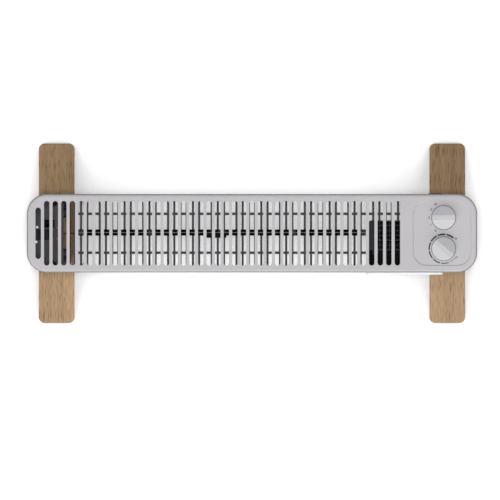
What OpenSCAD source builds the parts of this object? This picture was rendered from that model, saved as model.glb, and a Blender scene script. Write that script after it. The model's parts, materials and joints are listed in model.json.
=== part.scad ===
// Convector heater on wooden feet, with a turbo fan and two knobs on top. Millimetres.
// The origin is on the floor, midway between the four feet. -Y is the front and +X the control end.

/* [Casing] */
// Length of the casing
casing_w = 632; // [620:1:680]
// Depth of the casing, front to back
casing_d = 110; // [109:1:120]
// Height of the casing
casing_h = 372; // [330:1:450]
// Radius of the upright corners
corner_r = 28; // [24:1:32]
// Wall of the end caps and of the skirt
shell_t = 2.4; // [2:0.1:2.8]
// Thickness of the sheet steel
sheet_t = 1.2; // [0.8:0.1:1.4]
// Length of an end cap
cap_l = 34; // [33:1:37]
// Depth of a panel's lower flange
foot_flange = 9; // [7:1:10]
// Depth of a panel's upper flange
head_flange = 7; // [5:1:7]

/* [Top grille] */
// Thickness of the top plate
plate_t = 3; // [2.6:0.1:4]
// Height of the skirt round the top plate
skirt_h = 16; // [14:1:22]
// Radius between plate and skirt
edge_r = 4.5; // [2:0.1:4.6]
// Width of an air slot
slot_w = 7.7; // [6:0.1:8]
// Plate beside the slots' ends
slot_rim = 9.7; // [9:0.1:13]
// Length cut from each end of the first slot
end_slot_trim = 9.3; // [8:0.1:14]
// Pitch of the air slots
slot_pitch = 12; // [11:0.1:12]
// From the left end to the first slot's middle
slot_start = 16; // [15:0.5:16.5]
// Least room from the last slot's middle to the recess
slot_margin = 12; // [11:0.5:20]
// Height of the shadow gap under the skirt
shadow_gap = 1; // [0.5:0.1:2]

/* [Control recess and knobs] */
// Length of the recess along the casing
recess_w = 82.5; // [80:0.5:84]
// Plate in front of and behind the recess
recess_rim = 9; // [8:0.5:11]
// Depth of the recess below the plate
recess_depth = 1.2; // [0.8:0.1:1.4]
// Run of the slope round the recess
recess_slope = 1.6; // [1:0.1:3]
// Radius of the recess's corners
recess_r = 20; // [16:1:24]
// Plate between the recess and the right end
recess_margin = 8; // [7.5:0.5:9]
// Extra thickness under the recess
recess_pad_t = 3; // [2.5:0.1:5]
// Diameter of a knob
knob_d = 33; // [30:0.5:36]
// Height of a knob
knob_h = 16; // [13:0.5:20]
// Height of a knob's rim
knob_rim_h = 7.5; // [6:0.5:8]
// Width of the grip bar across a knob
grip_w = 6.4; // [5:0.1:8]
// Distance between the two knobs
knob_spacing = 43.7; // [42:0.1:46]
// From the knobs' axes to the right end
knob_inset = 47; // [45:0.5:49]
// Open ring round a knob
knob_seam = 0.9; // [0.6:0.1:1.2]
// Depth of the well under a knob
well_depth = 1.5; // [1:0.1:1.8]
// Diameter of a control spindle
spindle_d = 6; // [5:0.5:6]
// Direction of the power knob, counted from +X
power_turn = 180; // [120:30:240]
// Direction of the thermostat knob, counted from +X
heat_turn = 140; // [40:1:320]

/* [Feet] */
// From a foot's middle to the casing's end
foot_inset = 42; // [38:0.25:46]
// Width of a leg board
leg_w = 50; // [46:1:52]
// Reach of a leg board from the middle
leg_reach = 126; // [110:1:160]
// Thickness of a leg board
leg_t = 18; // [14:1:22]
// Slope of a leg board
leg_slope = 22; // [16:1:26]
// Radius of a leg's corners
leg_corner_r = 8; // [4:1:12]
// Radius of a leg's upper tip edge
tip_r = 4; // [2:0.5:5]
// Length of the cut that faces the floor
tread_l = 24; // [18:1:30]
// Half the length of the level seat on top
seat_l = 14; // [10:1:18]
// Width and depth of the groove between two boards
leg_seam = 1; // [0.6:0.1:2]
// Thickness of a rubber pad
pad_t = 3; // [2:0.5:5]
// Length of a rubber pad
pad_l = 34; // [24:1:40]
// Width of a rubber pad
pad_w = 12; // [10:1:16]

/* [Foot brackets] */
// Thickness of the bracket's steel
bracket_t = 2.5; // [2:0.1:3]
// Width of a bracket
bracket_w = 39; // [36:1:41]
// Reach of a bracket's wings
bracket_reach = 47; // [45:1:50]
// Radius of the corners of a bracket's wings
bracket_corner_r = 10; // [6:1:12]
// Length of the window in a bracket
window_l = 44; // [36:1:46]
// Width of the window in a bracket
window_w = 10.5; // [8:0.5:11]
// From the middle to the leg screws, along a wing
leg_screw_y = 29; // [28:0.5:31]
// From the bracket's middle line to the leg screws
leg_screw_x = 11; // [10:0.5:11.5]

/* [Bottom grille] */
// Thickness of the grille's floor
floor_t = 3; // [2.5:0.1:4]
// Pitch of the ribs
rib_pitch = 8.72; // [8:0.02:8.8]
// Thickness of a rib
rib_t = 3; // [2:0.1:3.4]
// Height of a rib
rib_h = 8; // [6:0.5:9]
// Pitch of the cross bars
bar_pitch = 27.3; // [25:0.1:29]
// Thickness of a cross bar
bar_w = 3.6; // [2:0.1:4]
// Height of a cross bar above the ribs
bar_h = 3; // [2:0.5:4]
// Solid rim of the grille, front and back
grille_rim = 9; // [8.5:0.5:12]
// Width of the opening over a leg
leg_window_w = 14.5; // [13:0.5:16]
// Diameter of two open holes beside the tilt switch
weep_d = 3.5; // [3:0.1:4]

/* [Heating element] */
// From the casing's left end to the element sheet
element_inset = 72; // [70:0.5:73]
// Gap between the element sheet and the fan housing
element_gap = 3.5; // [3.5:0.5:12]
// Height of the element sheet
element_h = 52; // [44:1:60]
// Thickness of the element sheet
element_t = 1; // [0.8:0.1:1.4]
// Distance of the element behind the middle
element_y = 1; // [-4:0.5:4]
// Height of the element above the underside
element_lift = 56; // [50:1:80]
// Width of the channel that carries the sheet
channel_w = 8.5; // [7:0.5:10]
// Height of that channel
channel_h = 10; // [8:1:12]
// Pitch of the heating ribbon's runs
ribbon_pitch = 8; // [6:0.5:10]
// Width of the heating ribbon
ribbon_w = 1.4; // [1:0.1:2]
// Thickness of the heating ribbon
ribbon_t = 0.6; // [0.4:0.1:0.8]
// Length of the thermal cut-out
cutout_l = 28; // [24:1:32]
// Thickness of the thermal cut-out
cutout_t = 6; // [5:0.5:8]
// Height of the thermal cut-out
cutout_h = 18; // [14:1:24]
// From the middle to the cut-out's middle
cutout_x = 50; // [40:1:60]

/* [Turbo fan] */
// From the fan housing to the casing's right end
fan_inset = 51.5; // [50:0.5:51.5]
// Length of the fan housing
fan_l = 101; // [92:1:101]
// Height of the fan housing
fan_h = 74; // [70:1:86]
// Rear edge of the housing, behind the middle
fan_back = 18; // [16:0.5:20]
// Wall of the fan housing
fan_wall = 2; // [1.6:0.1:2.2]
// Diameter of the fan impeller
impeller_d = 44; // [38:1:44]
// Gap round the impeller
impeller_gap = 2; // [1.5:0.1:2.5]
// Number of impeller blades
blade_count = 20; // [16:1:24]
// Thickness of an impeller blade
blade_t = 0.9; // [0.8:0.1:1.2]
// Height of the outlet duct
outlet_h = 36; // [32:1:38]
// Length of the intake in front of the axis
intake_front = 14; // [12:1:15]
// Pitch of the guard's wires
guard_pitch = 7; // [6:0.5:8]
// Solid part of the guard's frame at each end
guard_side = 9; // [7:0.5:10]
// Thickness of a guard wire
guard_wire = 1; // [0.8:0.1:1.4]
// Reach of the outlet grille past each end of the fan
outlet_rim = 3.25; // [2.5:0.25:4.5]
// Height of the outlet grille
outlet_grille_h = 46; // [44:1:50]
// Reach of the outlet grille out of the front
outlet_proud = 3; // [2:0.5:5]
// Number of outlet louvres
louvre_count = 5; // [3:1:6]
// Diameter of the fan shaft
shaft_d = 4; // [3:0.5:5]
// Diameter of the motor's rotor
rotor_d = 20; // [18:0.5:21]
// Thickness of the motor's stack
stack_t = 12; // [10:1:14]

/* [Tilt switch] */
// Width of the tilt switch case
tilt_w = 19; // [17:0.5:20]
// Depth of the tilt switch case
tilt_d = 14.5; // [13:0.5:15]
// Height of the tilt switch case
tilt_h = 38; // [34:1:44]
// Wall of the tilt switch case
tilt_wall = 1.6; // [1.2:0.1:1.8]
// Diameter of the pendulum's bob
bob_d = 6; // [5:0.5:6.5]
// Diameter of the pendulum's pin
pin_d = 2; // [1.6:0.1:2.4]

/* [Cable entry] */
// Bore of the cable gland
gland_bore = 7.6; // [6:0.1:9]
// Length of the cable gland's bore
gland_l = 14; // [12:1:18]
// Diameter of the cable gland's body
gland_d = 13; // [12:0.5:16]
// Height of the gland above the underside
gland_lift = 30; // [26:1:60]
// From the gland to the casing's right end
gland_inset = 59; // [59:1:86]

/* [Screws] */
// Diameter of a leg screw
leg_screw_d = 4.4; // [4:0.1:5]
// Length of a leg screw under its head
leg_screw_l = 16; // [12:1:18]
// Diameter of a casing screw
casing_screw_d = 3.2; // [2.9:0.1:3.5]
// Length of a casing screw under its head
casing_screw_l = 8; // [7:0.5:10]

/* [Hidden] */
$fn = 48;

// Overrun of every cut
over = 1;
// Gap between pieces that slide together on assembly
fit = 0.3;
// Radial gap between a turning shaft and its bore
running = 0.05;
// Radial gap round a screw in its hole
screw_gap = 0.15;

// Heights, from the floor upwards
leg_rise = leg_t / cos(leg_slope);
leg_top_z = pad_t + (leg_reach - tread_l - seat_l) * tan(leg_slope) + leg_rise;
base_z = leg_top_z + bracket_t;
top_z = base_z + casing_h;
plate_under_z = top_z - plate_t;
skirt_z = top_z - skirt_h;
panel_top_z = skirt_z - shadow_gap;
floor_z = base_z + floor_t;
rib_top_z = base_z + rib_h;
bar_top_z = rib_top_z + bar_h;

// Casing
half_w = casing_w / 2;
half_d = casing_d / 2;
panel_end_x = half_w - cap_l;
panel_in_y = half_d - sheet_t;
tongue_t = 2;
tongue_in = shell_t + fit;
ledge_h = 4;
ledge_t = 4;
lap_l = 14;
lap_t = 2;
lap_out = half_d - sheet_t - fit;
grille_inset = shell_t + fit;

// Control recess
recess_x = half_w - recess_margin - recess_w / 2;
recess_left_x = recess_x - recess_w / 2;
recess_l = casing_d - 2 * recess_rim;
slot_l = casing_d - 2 * slot_rim;
end_slot_l = slot_l - 2 * end_slot_trim;
slot_count = floor((recess_left_x - slot_margin + half_w - slot_start) / slot_pitch) + 1;
knob_x = half_w - knob_inset;
knob_y = knob_spacing / 2;
knob_r = knob_d / 2;
recess_pad_rim = 2;
pad_under_z = plate_under_z - recess_pad_t;
well_z = top_z - recess_depth - well_depth;
knob_lift = 0.6;
knob_z = well_z + knob_lift;
knob_wall = 2;
knob_boss_r = 5.5;
knob_hollow_h = 3.5;
knob_bore_h = 9;
spindle_r = spindle_d / 2;
spindle_hole_gap = 1;
post_r = 4;
post_h = 10;
post_x = 29;
post_y = 35;
control_plate_t = 1.5;
control_plate_w = 69;
control_plate_l = 82;
control_plate_r = 7;
control_plate_z = pad_under_z - post_h - control_plate_t;
bush_wall = 2;
bush_r = spindle_r + bush_wall;
bush_h = 5;
bush_gap = 0.4;
switch_r = 14;
switch_h = 17;
spindle_depth = 11;
tab_w = 6.3;
tab_t = 0.8;
tab_h = 9;
tab_ring_r = 9.5;
heat_body_w = 36;
heat_body_l = 26;
heat_body_h = 13;
heat_body_r = 3;
bimetal_l = 30;
bimetal_w = 8;
bimetal_t = 1;
bimetal_drop = 4;
control_screw_r = 1.5;
control_screw_l = 8;

// Legs and brackets
foot_spread = half_w - foot_inset;
leg_screw_r = leg_screw_d / 2;
leg_head_r = 4.2;
leg_head_h = 2.4;
bolt_r = 1.7;
bolt_head_r = 3.4;
bolt_head_h = 2;
bolt_l = 10;
bolt_y = 8;
bolt_x = 1;
bolt_boss_r = 3.8;
bolt_boss_h = 10;
pad_inset = 12;

// Bottom grille
grille_d = casing_d - 2 * grille_rim;
rib_margin = 20;
rib_count = 2 * floor((foot_spread - rib_margin) / rib_pitch);
grille_half = (rib_count - 1) / 2 * rib_pitch + rib_t / 2;
rebate = 0.2;

// Fan housing, element and gland along the casing
fan_end = half_w - fan_inset;
fan_start = fan_end - fan_l;
element_start = half_w - element_inset;
element_end = element_gap - fan_start;
element_l = element_start - element_end;
gland_x = half_w - gland_inset;

// Heating element
element_z = base_z + element_lift;
channel_t = 1.2;
insulator_floor = 1.4;
sheet_z = element_z + channel_t + insulator_floor;
sheet_top_z = sheet_z + element_h;
insulator_l = 10;
insulator_count = 5;
ribbon_edge = 10.5;
ribbon_low_z = element_z + channel_h + ribbon_edge / 2;
ribbon_high_z = sheet_top_z - ribbon_edge / 2;
ribbon_runs = round((element_l - 2 * ribbon_edge) / ribbon_pitch / 2) * 2;
element_bracket_t = 1.5;
element_bracket_gap = 0.2;
element_tab = 9;
bracket_left_x = -element_start - fit - element_bracket_t;
bracket_right_x = -element_end + fit;
element_bracket_z = element_z - channel_h;
element_bracket_h = element_h + 2 * channel_h;
bracket_slot_h = 22;
cutout_z = sheet_top_z - cutout_h / 2;
cutout_face_y = element_y - element_t / 2 - ribbon_t - fit;
clip_t = 0.8;
clip_w = 9;
fuse_r = 2.4;
fuse_l = 14;
fuse_clip_t = 1;

// Fan, with its section drawn from the impeller's axis
impeller_r = impeller_d / 2;
scroll_r = impeller_r + impeller_gap;
fan_z = bar_top_z;
axis_y = fan_back - scroll_r - fan_wall;
axis_z = fan_z + scroll_r + fan_wall;
fan_front = axis_y + panel_in_y - fit - shell_t;
fan_head = fan_h - scroll_r - fan_wall;
fan_top_z = fan_z + fan_h;
fan_corner_r = 6;
guard_t = 1.4;
guard_rim = 2;
guard_corner_r = 4;
ear_r = 4.2;
ear_inset = 10;
ear_reach = 3;
ear_y = fan_back - intake_front - scroll_r - 2 * fan_wall - ear_reach;
blade_depth = 6;
blade_in_r = impeller_r - blade_depth;
blade_curve_r = 7;
disc_t = 1.6;
hub_r = 5;
impeller_clear = 4;
shaft_r = shaft_d / 2;
bearing_r = 5;
bearing_l = 6;
bearing_flange_r = 7;
bearing_flange_t = 1.2;
mouth_w = fan_l - 2 * fan_wall;
louvre_t = 1.2;
outlet_grille_w = fan_l + 2 * outlet_rim;
louvre_d = 4;
louvre_tilt = 35;
grille_corner_r = 5;
hook_t = 1.6;

// Fan motor
rotor_r = rotor_d / 2;
air_gap = 0.4;
bridge_t = 3;
bridge_gap = 3;
bridge_w = 9;
stack_x = fan_end + fit + bridge_t + bridge_gap;
bridge_end_x = stack_x + stack_t + bridge_gap;
core_half = 20;
core_low = 16;
window_low = 15;
window_high = 28;
core_high = 38;
window_half = 11;
coil_half = 10;
coil_over = 6;
coil_rise = 6;
coil_clear = 0.4;
stud_r = 1.8;
stud_y = 16;
shaft_tail = 3;

// Tilt switch, junction and terminal blocks
tilt_inset = 14.1;
tilt_x = tilt_inset - half_w;
tilt_y = -9;
weep_gap = 3.1;
weep_in = 0.5;
weep_skew = 1.3;
pin_r = pin_d / 2;
pin_head = 6;
bob_drop = 16;
bob_l = 6;
rod_r = 1;
junction_w = 15;
junction_d = 11;
junction_h = 16;
junction_inset = 23.8;
junction_x = junction_inset - half_w;
junction_y = 8;
clamp_r = 1.6;
clamp_pitch = 7;
terminal_w = 30;
terminal_d = 14;
terminal_h = 15;
terminal_inset = 44;
terminal_x = half_w - terminal_inset;
terminal_back = 29;
terminal_y = half_d - terminal_back;
terminal_pitch = 9;

// Cable gland
gland_z = base_z + gland_lift;
gland_rim = 3;
gland_flange_r = gland_d / 2 + gland_rim;
gland_flange_t = 0.9;
nut_t = 3;
nut_rim = 3.5;
nut_r = gland_d / 2 + nut_rim;

// Casing screws
screw_head_r = 3.4;
screw_head_h = 2;
recess_cross_w = 0.9;
casing_screw_r = casing_screw_d / 2;
casing_head_r = 3;
casing_screw_inset = 7;
casing_screw_x = panel_end_x - casing_screw_inset;
screw_end = 34;
screw_heights = [base_z + screw_end, (base_z + panel_top_z) / 2, panel_top_z - screw_end];

// Heat shield
shield_lead = 14.5;
shield_x = recess_left_x - shield_lead;
shield_tab = 10;
shield_gap = 6;
shield_low_z = fan_top_z + shield_gap;
shield_high_z = panel_top_z - shield_gap;
wire_hole_r = 3.5;
wire_hole_inset = 6;
wire_hole_y = panel_in_y - wire_hole_inset;
wire_hole_rise = 12;
wire_hole_z = element_bracket_z + element_bracket_h + wire_hole_rise;
fuse_x = shield_x + sheet_t + fuse_clip_t + fuse_r;
fuse_z = (shield_low_z + shield_high_z) / 2;

// Inner wires
wire_r = 1.3;
wire_sides = 8;
wire_steps = 4;

// Flat shapes

module rounded(w, d, r) {
    square([w - 2 * r, d], center = true);
    square([w, d - 2 * r], center = true);
    for (x = [-1, 1], y = [-1, 1])
        translate([x * (w / 2 - r), y * (d / 2 - r)])
            circle(r);
}

module stadium(w, l) {
    square([w, l - w], center = true);
    for (y = [-1, 1])
        translate([0, y * (l - w) / 2])
            circle(w / 2);
}

module outline(inset) {
    rounded(casing_w - 2 * inset, casing_d - 2 * inset, corner_r - inset);
}

module outline_ring(outer, inner) {
    difference() {
        outline(outer);
        outline(inner);
    }
}

// Draws a flat shape of Y and Z, l long, from x
module along_x(x, l) {
    translate([x, 0, 0])
        rotate([90, 0, 90])
            linear_extrude(l)
                children();
}

// Draws a flat shape of X and Z, l deep, from y backwards
module along_y(y, l) {
    translate([0, y + l, 0])
        rotate([90, 0, 0])
            linear_extrude(l)
                children();
}

// A block between two opposite corners
module block(a, b) {
    translate([min(a.x, b.x), min(a.y, b.y), min(a.z, b.z)])
        cube([abs(b.x - a.x), abs(b.y - a.y), abs(b.z - a.z)]);
}

module at_posts(z) {
    for (x = [-1, 1], y = [-1, 1])
        translate([knob_x + x * post_x, y * post_y, z])
            children();
}

module at_bolts(z) {
    for (side = [-1, 1], y = [-1, 1])
        translate([side * (foot_spread - bolt_x), y * bolt_y, z])
            children();
}

// Top grille

module edge_profile(r, h, e) {
    square([r - e, h]);
    square([r, h - e]);
    translate([r - e, h - e])
        circle(e);
}

module rounded_cap(w, d, r, h, e) {
    linear_extrude(h)
        square([w - 2 * r, d - 2 * r], center = true);
    for (turn = [0, 180], side = [0, 1])
        rotate(turn + side * 90) {
            long = side == 0 ? w : d;
            wide = side == 0 ? d : w;
            translate([long / 2 - r, wide / 2 - r, 0]) {
                rotate([90, 0, 0])
                    linear_extrude(wide - 2 * r)
                        edge_profile(r, h, e);
                rotate_extrude(angle = 90)
                    edge_profile(r, h, e);
            }
        }
}

// The recess, sloped on all sides, with an overrun that follows the slope
module recess_cut() {
    h = recess_depth + over;
    run = recess_slope * h / recess_depth;
    long = recess_w / 2 - recess_r;
    wide = recess_l / 2 - recess_r;
    r = recess_r - recess_slope;
    translate([recess_x, 0, top_z - recess_depth]) {
        along_x(-long, 2 * long)
            polygon([[-wide - r, 0], [wide + r, 0], [wide + r + run, h], [-wide - r - run, h]]);
        along_y(-wide, 2 * wide)
            polygon([[-long - r, 0], [long + r, 0], [long + r + run, h], [-long - r - run, h]]);
        for (x = [-long, long], y = [-wide, wide])
            translate([x, y, 0])
                cylinder(r1 = r, r2 = r + run, h = h);
    }
}

module top_grille() {
    color("gainsboro")
        difference() {
            union() {
                difference() {
                    translate([0, 0, skirt_z])
                        rounded_cap(casing_w, casing_d, corner_r, skirt_h, edge_r);
                    translate([0, 0, skirt_z - over])
                        linear_extrude(skirt_h - plate_t + over)
                            outline(shell_t);
                }
                translate([recess_x, 0, pad_under_z])
                    linear_extrude(recess_pad_t + plate_t / 2)
                        rounded(recess_w + 2 * recess_pad_rim, recess_l + 2 * recess_pad_rim,
                            recess_r + recess_pad_rim);
                at_posts(pad_under_z - post_h)
                    cylinder(r = post_r, h = post_h + recess_pad_t / 2);
            }
            for (i = [0 : slot_count - 1])
                translate([slot_start - half_w + i * slot_pitch, 0, plate_under_z - over])
                    linear_extrude(plate_t + 2 * over)
                        stadium(slot_w, i == 0 ? end_slot_l : slot_l);
            recess_cut();
            for (y = [-knob_y, knob_y])
                translate([knob_x, y, 0]) {
                    translate([0, 0, well_z])
                        cylinder(r = knob_r + knob_seam, h = well_depth + over);
                    translate([0, 0, pad_under_z - over])
                        cylinder(r = spindle_r + spindle_hole_gap, h = recess_pad_t + plate_t + over);
                }
            at_posts(pad_under_z - post_h - over)
                cylinder(r = control_screw_r + running, h = control_screw_l + over);
        }
}

// Sheet steel panels

// A panel with its inside face towards +Y
module panel() {
    w = panel_end_x - fit;
    block([-w, -half_d, base_z], [w, -panel_in_y, panel_top_z]);
    block([-w, -half_d, base_z], [w, foot_flange - half_d, base_z + sheet_t]);
    block([-w, -half_d, panel_top_z - sheet_t], [w, head_flange - half_d, panel_top_z]);
}

module front_panel() {
    mouth_x = fan_start + fan_l / 2;
    color("whitesmoke")
        difference() {
            panel();
            block([mouth_x - mouth_w / 2, -half_d - over, fan_z + fan_wall],
                [mouth_x + mouth_w / 2, -panel_in_y + over, fan_z + outlet_h - fan_wall]);
        }
}

module back_panel() {
    color("whitesmoke")
        difference() {
            rotate(180)
                panel();
            for (x = [-1, 1], z = screw_heights)
                translate([x * casing_screw_x, panel_in_y, z])
                    rotate([-90, 0, 0]) {
                        r = casing_screw_r + screw_gap;
                        cylinder(r = r, h = 2 * over, center = true);
                        cylinder(r1 = r, r2 = r + (casing_head_r - casing_screw_r) * (1 + over / sheet_t),
                            h = sheet_t + over);
                    }
            translate([gland_x, panel_in_y - over, gland_z])
                rotate([-90, 0, 0])
                    cylinder(r = gland_d / 2 + screw_gap, h = sheet_t + 2 * over);
        }
}

// Plastic end caps

module end_region(x) {
    translate([x, -casing_d])
        square([casing_w, 2 * casing_d]);
}

module end_cap() {
    difference() {
        union() {
            translate([0, 0, base_z])
                linear_extrude(panel_top_z - base_z)
                    intersection() {
                        outline_ring(0, shell_t);
                        end_region(panel_end_x);
                    }
            translate([0, 0, panel_top_z - ledge_h])
                linear_extrude(ledge_h)
                    intersection() {
                        outline_ring(shell_t / 2, tongue_in + tongue_t);
                        end_region(panel_end_x);
                    }
            translate([0, 0, panel_top_z - ledge_h])
                linear_extrude(plate_under_z - fit - panel_top_z + ledge_h)
                    intersection() {
                        outline_ring(tongue_in, tongue_in + tongue_t);
                        end_region(panel_end_x);
                    }
            translate([0, 0, floor_z])
                linear_extrude(ledge_h)
                    intersection() {
                        outline_ring(shell_t / 2, shell_t + ledge_t);
                        end_region(panel_end_x);
                    }
            for (y = [-1, 1])
                block([panel_end_x - lap_l, y * lap_out, floor_z + ledge_h],
                    [panel_end_x + ledge_t, y * (lap_out - lap_t), panel_top_z - ledge_h]);
        }
        for (z = screw_heights)
            translate([casing_screw_x, half_d, z])
                rotate([90, 0, 0])
                    cylinder(r = casing_screw_r + running, h = casing_d / 4);
    }
}

module left_end_cap() {
    color("whitesmoke")
        rotate(180)
            mirror([0, 1, 0])
                end_cap();
}

module right_end_cap() {
    color("whitesmoke")
        end_cap();
}

// Bottom grille

module grille_plate() {
    linear_extrude(floor_t)
        difference() {
            outline(grille_inset);
            square([2 * grille_half - rib_t, grille_d], center = true);
            for (x = [-1, 1])
                translate([x * (grille_half + leg_window_w / 2), 0])
                    square([leg_window_w, grille_d], center = true);
            for (back = [0, 1])
                translate([tilt_x + weep_in - (1 - back) * weep_skew,
                        tilt_y - weep_gap + back * (tilt_d + 2 * weep_gap)])
                    circle(weep_d / 2);
        }
}

module bottom_grille() {
    color("dimgray")
        translate([0, 0, base_z])
            difference() {
                union() {
                    grille_plate();
                    for (i = [0 : rib_count - 1])
                        translate([i * rib_pitch - grille_half, -grille_d / 2 - over, 0])
                            cube([rib_t, grille_d + 2 * over, rib_h]);
                    for (i = [-1 : 1])
                        translate([-grille_half, i * bar_pitch - bar_w / 2, rib_h - bar_h])
                            cube([2 * grille_half, bar_w, 2 * bar_h]);
                    at_bolts(0)
                        cylinder(r = bolt_boss_r, h = bolt_boss_h);
                }
                for (y = [-1, 1])
                    block([-panel_end_x - rebate, y * half_d, -over],
                        [panel_end_x + rebate, y * (half_d - foot_flange - rebate), sheet_t + rebate]);
                at_bolts(-over)
                    cylinder(r = bolt_r + running, h = bolt_l + 2 * over);
            }
}

// Legs, drawn for the front board: y runs outwards

function leg_low(y) = pad_t + (leg_reach - tread_l - y) * tan(leg_slope);
function leg_high(y) = leg_low(y) + leg_rise;

module leg_side() {
    tip_y = leg_reach - tip_r;
    tip_z = leg_high(tip_y) - tip_r / cos(leg_slope);
    polygon([
        [0, leg_low(0)],
        [leg_reach - tread_l, pad_t],
        [leg_reach, pad_t],
        [leg_reach, tip_z],
        [tip_y + tip_r * sin(leg_slope), tip_z + tip_r * cos(leg_slope)],
        [seat_l, leg_top_z],
        [leg_seam / 2, leg_top_z],
        [0, leg_top_z - leg_seam]
    ]);
    translate([tip_y, tip_z])
        circle(tip_r);
}

// Places its children at a leg screw: z points up out of the board
module at_leg_screw(x) {
    translate([x, leg_screw_y * cos(leg_slope), leg_high(leg_screw_y * cos(leg_slope))])
        rotate([-leg_slope, 0, 0])
            children();
}

module leg_board() {
    difference() {
        intersection() {
            along_x(-leg_w / 2, leg_w)
                leg_side();
            translate([0, 0, -over])
                linear_extrude(top_z)
                    union() {
                        translate([-leg_w / 2, 0])
                            square([leg_w, leg_reach - leg_corner_r]);
                        translate([leg_corner_r - leg_w / 2, 0])
                            square([leg_w - 2 * leg_corner_r, leg_reach]);
                        for (x = [-1, 1])
                            translate([x * (leg_w / 2 - leg_corner_r), leg_reach - leg_corner_r])
                                circle(leg_corner_r);
                    }
        }
        for (x = [-leg_screw_x, leg_screw_x])
            at_leg_screw(x)
                translate([0, 0, bracket_t - leg_screw_l - over])
                    cylinder(r = leg_screw_r + running, h = leg_screw_l + 2 * over);
    }
}

module leg(side, back) {
    color("burlywood")
        translate([side * foot_spread, 0, 0])
            rotate(back ? 0 : 180)
                leg_board();
}

module left_front_leg() { leg(-1, false); }
module left_rear_leg() { leg(-1, true); }
module right_front_leg() { leg(1, false); }
module right_rear_leg() { leg(1, true); }

module foot_pads() {
    color("black")
        for (x = [-foot_spread, foot_spread], y = [-1, 1])
            translate([x, y * (leg_reach - pad_inset), 0])
                rotate(90)
                    linear_extrude(pad_t)
                        stadium(pad_w, pad_l);
}

// Foot brackets, drawn for the right foot: the window lies towards the middle, at -X

bracket_under = [
    [-bracket_reach, leg_high(bracket_reach)], [-seat_l, leg_top_z],
    [seat_l, leg_top_z], [bracket_reach, leg_high(bracket_reach)]
];

module bracket_side() {
    bend_y = seat_l + bracket_t * tan(leg_slope / 2);
    end_y = bracket_reach + bracket_t * sin(leg_slope);
    end_z = leg_high(bracket_reach) + bracket_t * cos(leg_slope);
    polygon(concat(bracket_under,
        [[end_y, end_z], [bend_y, base_z], [-bend_y, base_z], [-end_y, end_z]]));
}

module web_side() {
    polygon(concat(bracket_under, [[bracket_reach, base_z], [-bracket_reach, base_z]]));
}

module foot_bracket(side) {
    color("darkslategray")
        translate([side * foot_spread, 0, 0])
            scale([side, 1, 1])
                difference() {
                    intersection() {
                        union() {
                            along_x(-bracket_w / 2, bracket_w)
                                bracket_side();
                            for (x = [-bracket_w / 2, bracket_w / 2 - bracket_t])
                                along_x(x, bracket_t)
                                    web_side();
                        }
                        linear_extrude(top_z)
                            rounded(bracket_w, 2 * (bracket_reach + bracket_t), bracket_corner_r);
                    }
                    translate([bracket_t - bracket_w / 2, -window_l / 2, 0])
                        cube([window_w, window_l, top_z]);
                    for (y = [-bolt_y, bolt_y])
                        translate([-bolt_x, y, leg_top_z - over]) {
                            cylinder(r = bolt_r + screw_gap, h = bracket_t + 2 * over);
                            translate([0, 0, over])
                                cylinder(r1 = bolt_head_r + screw_gap, r2 = bolt_r + screw_gap,
                                    h = bolt_head_h);
                        }
                    for (turn = [0, 180], x = [-leg_screw_x, leg_screw_x])
                        rotate(turn)
                            at_leg_screw(x)
                                cylinder(r = leg_screw_r + screw_gap, h = 2 * (bracket_t + over),
                                    center = true);
                }
}

module left_foot_bracket() { foot_bracket(-1); }
module right_foot_bracket() { foot_bracket(1); }

// Screws

module cross_recess(l, z) {
    for (turn = [0, 90])
        rotate(turn)
            translate([-l / 2, -recess_cross_w / 2, z])
                cube([l, recess_cross_w, l]);
}

// A pan-head screw: its head stands on z = 0 and its shank points down
module pan_screw(r, l, head_r, head_h) {
    difference() {
        union() {
            translate([0, 0, -l])
                cylinder(r = r, h = l);
            cylinder(r1 = head_r, r2 = head_r - head_h / 3, h = head_h);
        }
        cross_recess(head_r, head_h / 2);
    }
}

// A countersunk screw with its head flush with z = 0
module flush_screw(r, l, head_r, head_h) {
    difference() {
        union() {
            translate([0, 0, -l])
                cylinder(r = r, h = l);
            translate([0, 0, -head_h])
                cylinder(r1 = r, r2 = head_r, h = head_h);
        }
        cross_recess(head_r, -head_h / 2);
    }
}

module leg_screws() {
    color("darkslategray")
        for (side = [-1, 1], turn = [0, 180], x = [-leg_screw_x, leg_screw_x])
            translate([side * foot_spread, 0, 0])
                rotate(turn)
                    at_leg_screw(x)
                        translate([0, 0, bracket_t])
                            pan_screw(leg_screw_r, leg_screw_l, leg_head_r, leg_head_h);
}

module bracket_screws() {
    color("silver")
        at_bolts(leg_top_z)
            rotate([180, 0, 0])
                flush_screw(bolt_r, bolt_l, bolt_head_r, bolt_head_h);
}

module casing_screws() {
    color("silver")
        for (x = [-1, 1], z = screw_heights)
            translate([x * casing_screw_x, half_d, z])
                rotate([-90, 0, 0])
                    flush_screw(casing_screw_r, casing_screw_l, casing_head_r, sheet_t);
}

// Heating element

module element_sheet() {
    color("tan")
        block([-element_start, element_y - element_t / 2, sheet_z],
            [-element_end, element_y + element_t / 2, sheet_top_z]);
}

module element_channel() {
    out = channel_w / 2;
    in = out - channel_t;
    color("darkslategray")
        along_x(-element_start, element_l)
            translate([element_y, element_z])
                polygon([[-out, 0], [out, 0], [out, channel_h], [in, channel_h], [in, channel_t],
                    [-in, channel_t], [-in, channel_h], [-out, channel_h]]);
}

module element_insulators() {
    in = channel_w / 2 - channel_t - running;
    step = (element_l - insulator_l) / (insulator_count - 1);
    color("ivory")
        for (i = [0 : insulator_count - 1])
            translate([i * step - element_start, element_y, 0])
                difference() {
                    block([0, -in, element_z + channel_t], [insulator_l, in, element_z + channel_h]);
                    block([-over, -element_t / 2 - running, sheet_z],
                        [insulator_l + over, element_t / 2 + running, sheet_top_z]);
                }
}

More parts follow.
